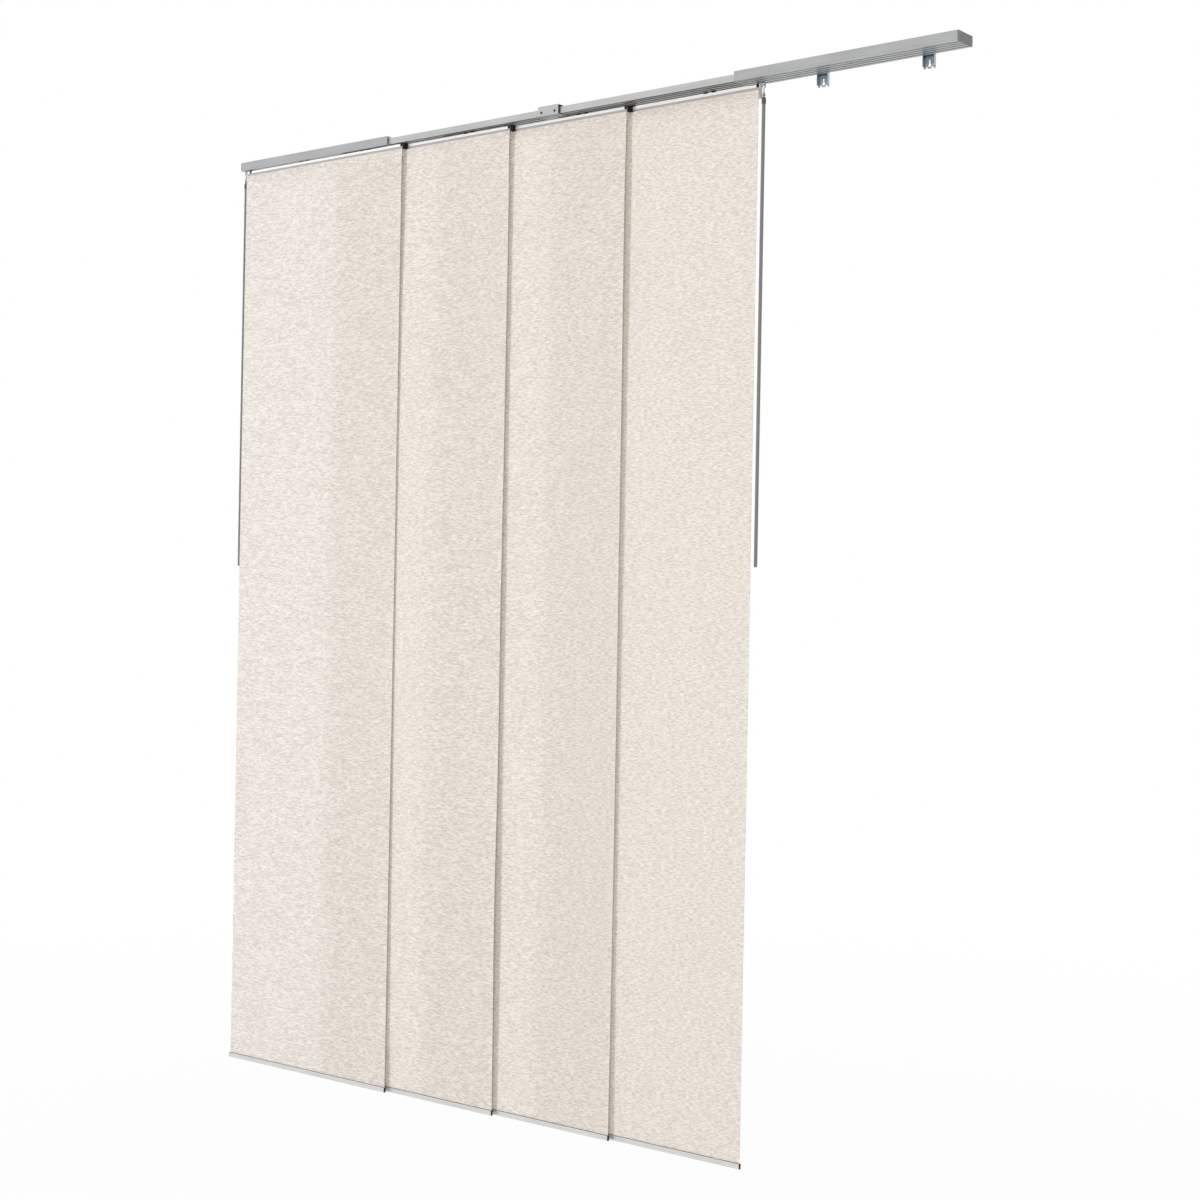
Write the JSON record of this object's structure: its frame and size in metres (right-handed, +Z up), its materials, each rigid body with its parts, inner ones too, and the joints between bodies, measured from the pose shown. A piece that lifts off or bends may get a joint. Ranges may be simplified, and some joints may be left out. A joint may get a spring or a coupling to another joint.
{
  "type": "panel track blind",
  "caption": "Panel track blind: flat fabric panels hung from carriers that slide behind one another in a telescopic metal track, with weighted bars and drawing wands.",
  "frame": {"origin": "Midway along the track, on the wall plane behind the brackets, at the height of the wall screws", "axes": "+X along the track to the right as seen from the room, +Y into the wall, +Z up"},
  "size_m": [2.184, 0.071, 2.4266],
  "materials": {
    "rail": "satin anodised",
    "channel": "satin anodised",
    "joint": "satin",
    "screw": "dark plated",
    "end_cap": "fine grain",
    "zinc": "zinc plated",
    "carrier": "satin anodised",
    "touch_strip": "looped pile",
    "runner": "moulded",
    "fabric": "slub plain weave",
    "bar": "satin anodised",
    "bar_cap": "moulded",
    "holder": "moulded",
    "hook": "bright plated",
    "wand_cap": "moulded",
    "wand": "polished"
  },
  "bodies": {
    "track": {"left_rail": "rail", "right_rail": "rail", "left_channels": "channel", "right_channels": "channel", "joint_cover": "joint", "joint_screws": "screw", "left_end_cap": "end_cap", "right_end_cap": "end_cap", "hanger_bolts": "zinc", "wall_bracket_1": "zinc", "wall_bracket_2": "zinc", "wall_bracket_3": "zinc", "wall_bracket_4": "zinc", "hanger_plate_1": "zinc", "hanger_plate_2": "zinc", "hanger_plate_3": "zinc", "hanger_plate_4": "zinc"},
    "panel_1": {"carrier_1": "carrier", "touch_strip_1": "touch_strip", "runners_1": "runner", "catch_left_1": "runner", "catch_right_1": "runner", "fabric_1": "fabric", "bottom_bar_1": "bar", "bar_caps_1": "bar_cap", "wand_holder_left": "holder"},
    "panel_2": {"carrier_2": "carrier", "touch_strip_2": "touch_strip", "runners_2": "runner", "catch_left_2": "runner", "catch_right_2": "runner", "fabric_2": "fabric", "bottom_bar_2": "bar", "bar_caps_2": "bar_cap"},
    "panel_3": {"carrier_3": "carrier", "touch_strip_3": "touch_strip", "runners_3": "runner", "catch_left_3": "runner", "catch_right_3": "runner", "fabric_3": "fabric", "bottom_bar_3": "bar", "bar_caps_3": "bar_cap"},
    "panel_4": {"carrier_4": "carrier", "touch_strip_4": "touch_strip", "runners_4": "runner", "catch_left_4": "runner", "catch_right_4": "runner", "fabric_4": "fabric", "bottom_bar_4": "bar", "bar_caps_4": "bar_cap", "wand_holder_right": "holder"},
    "left_hook": {"wand_hook_left": "hook"},
    "left_wand": {"wand_cap_left": "wand_cap", "wand_left": "wand"},
    "right_hook": {"wand_hook_right": "hook"},
    "right_wand": {"wand_cap_right": "wand_cap", "wand_right": "wand"}
  },
  "joints": [
    {"name": "panel_1_slide", "type": "slide", "parent": "track", "child": "panel_1", "axis": [1, 0, 0], "range_m": [-0.016, 0.503]},
    {"name": "panel_2_slide", "type": "slide", "parent": "panel_1", "child": "panel_2", "axis": [-1, 0, 0], "range_m": [-0.177, 0.343]},
    {"name": "panel_3_slide", "type": "slide", "parent": "panel_2", "child": "panel_3", "axis": [-1, 0, 0], "range_m": [-0.178, 0.342]},
    {"name": "panel_4_slide", "type": "slide", "parent": "panel_3", "child": "panel_4", "axis": [-1, 0, 0], "range_m": [-0.167, 0.353]},
    {"name": "left_hook_swing", "type": "hinge", "parent": "panel_1", "child": "left_hook", "pos_m": [-1.083, -0.0574, 0.0157], "axis": [-1, 0, 0], "range_deg": [0, 60]},
    {"name": "left_wand_swing", "type": "hinge", "parent": "left_hook", "child": "left_wand", "pos_m": [-1.083, -0.0574, -0.0079], "axis": [0, 1, 0], "range_deg": [0, 45]},
    {"name": "right_hook_swing", "type": "hinge", "parent": "panel_4", "child": "right_hook", "pos_m": [0.584, -0.019, 0.0157], "axis": [-1, 0, 0], "range_deg": [0, 60]},
    {"name": "right_wand_swing", "type": "hinge", "parent": "right_hook", "child": "right_wand", "pos_m": [0.584, -0.019, -0.0079], "axis": [0, -1, 0], "range_deg": [0, 45]}
  ]
}
